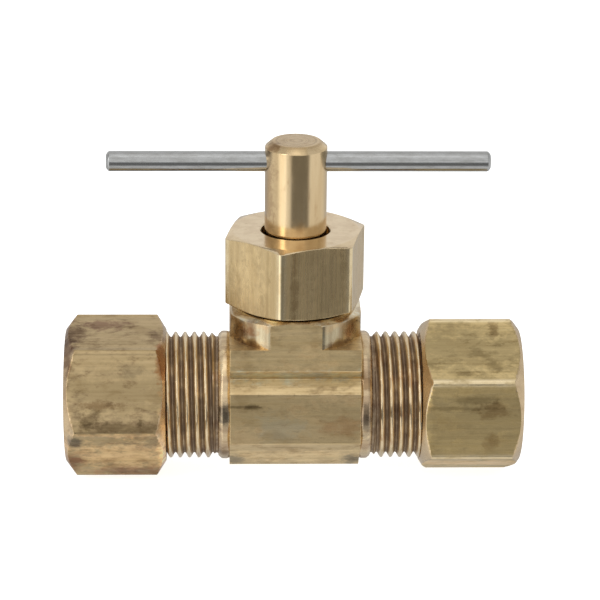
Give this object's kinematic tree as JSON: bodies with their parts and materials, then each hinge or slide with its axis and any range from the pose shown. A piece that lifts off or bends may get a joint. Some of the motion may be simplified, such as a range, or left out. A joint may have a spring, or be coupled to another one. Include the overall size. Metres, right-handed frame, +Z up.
{
  "type": "needle valve",
  "caption": "Straight brass needle valve with a compression nut on each end, a hexagonal bonnet nut, a screwed needle stem and a steel cross-bar handle.",
  "frame": {"origin": "where the run axis crosses the stem axis, at the middle of the body", "axes": "+X along the run towards the right tube end, +Z up the stem towards the handle, -Y towards the front"},
  "size_m": [0.0512, 0.0182, 0.0393],
  "materials": {
    "body_brass": "aged, drawn",
    "left_nut_brass": "aged, drawn, stained",
    "right_nut_brass": "aged, drawn",
    "bonnet_brass": "drawn flats, turned top",
    "stem_brass": "turned, bright",
    "ferrule_brass": "turned, bright",
    "bar_steel": "drawn",
    "washer_steel": "plain",
    "packing": "waxy",
    "seal_rubber": "matt"
  },
  "bodies": {
    "valve_body": {"valve_body": "body_brass", "thrust_washer": "washer_steel", "lower_packing_ring": "packing", "upper_packing_ring": "packing"},
    "left_ferrule": {"left_ferrule": "ferrule_brass"},
    "left_nut": {"left_compression_nut": "left_nut_brass"},
    "right_ferrule": {"right_ferrule": "ferrule_brass"},
    "right_nut": {"right_compression_nut": "right_nut_brass"},
    "gland": {"packing_gland": "ferrule_brass"},
    "bonnet_nut": {"bonnet_nut": "bonnet_brass"},
    "stem_seal": {"stem_o_ring": "seal_rubber"},
    "stem": {"stem": "stem_brass", "handle_bar": "bar_steel"}
  },
  "joints": [
    {"name": "left_nut_travel", "type": "slide", "parent": "valve_body", "child": "left_ferrule", "axis": [-1, 0, 0], "range_m": [-0.00053, 0.00477]},
    {"name": "left_nut_turn", "type": "hinge", "parent": "left_ferrule", "child": "left_nut", "pos_m": [0, 0, 0], "axis": [-1, 0, 0], "range_deg": [-180, 1620]},
    {"name": "right_nut_travel", "type": "slide", "parent": "valve_body", "child": "right_ferrule", "axis": [1, 0, 0], "range_m": [-0.00025, 0.00505]},
    {"name": "right_nut_turn", "type": "hinge", "parent": "right_ferrule", "child": "right_nut", "pos_m": [0, 0, 0], "axis": [1, 0, 0], "range_deg": [-85, 1715]},
    {"name": "bonnet_nut_travel", "type": "slide", "parent": "valve_body", "child": "gland", "axis": [0, 0, 1], "range_m": [0, 0.00318]},
    {"name": "bonnet_nut_turn", "type": "hinge", "parent": "gland", "child": "bonnet_nut", "pos_m": [0, 0, 0], "axis": [0, 0, 1], "range_deg": [0, 1080]},
    {"name": "stem_lift", "type": "slide", "parent": "valve_body", "child": "stem_seal", "axis": [0, 0, 1], "range_m": [0, 0.00318]},
    {"name": "stem_turn", "type": "hinge", "parent": "stem_seal", "child": "stem", "pos_m": [0, 0, 0], "axis": [0, 0, 1], "range_deg": [0, 1080]}
  ],
  "couplings": [
    {"joint": "left_nut_travel", "follows": "left_nut_turn", "m_per_rad": 0.00016843},
    {"joint": "right_nut_travel", "follows": "right_nut_turn", "m_per_rad": 0.00016843},
    {"joint": "bonnet_nut_travel", "follows": "bonnet_nut_turn", "m_per_rad": 0.00016843},
    {"joint": "stem_lift", "follows": "stem_turn", "m_per_rad": 0.00016843}
  ]
}
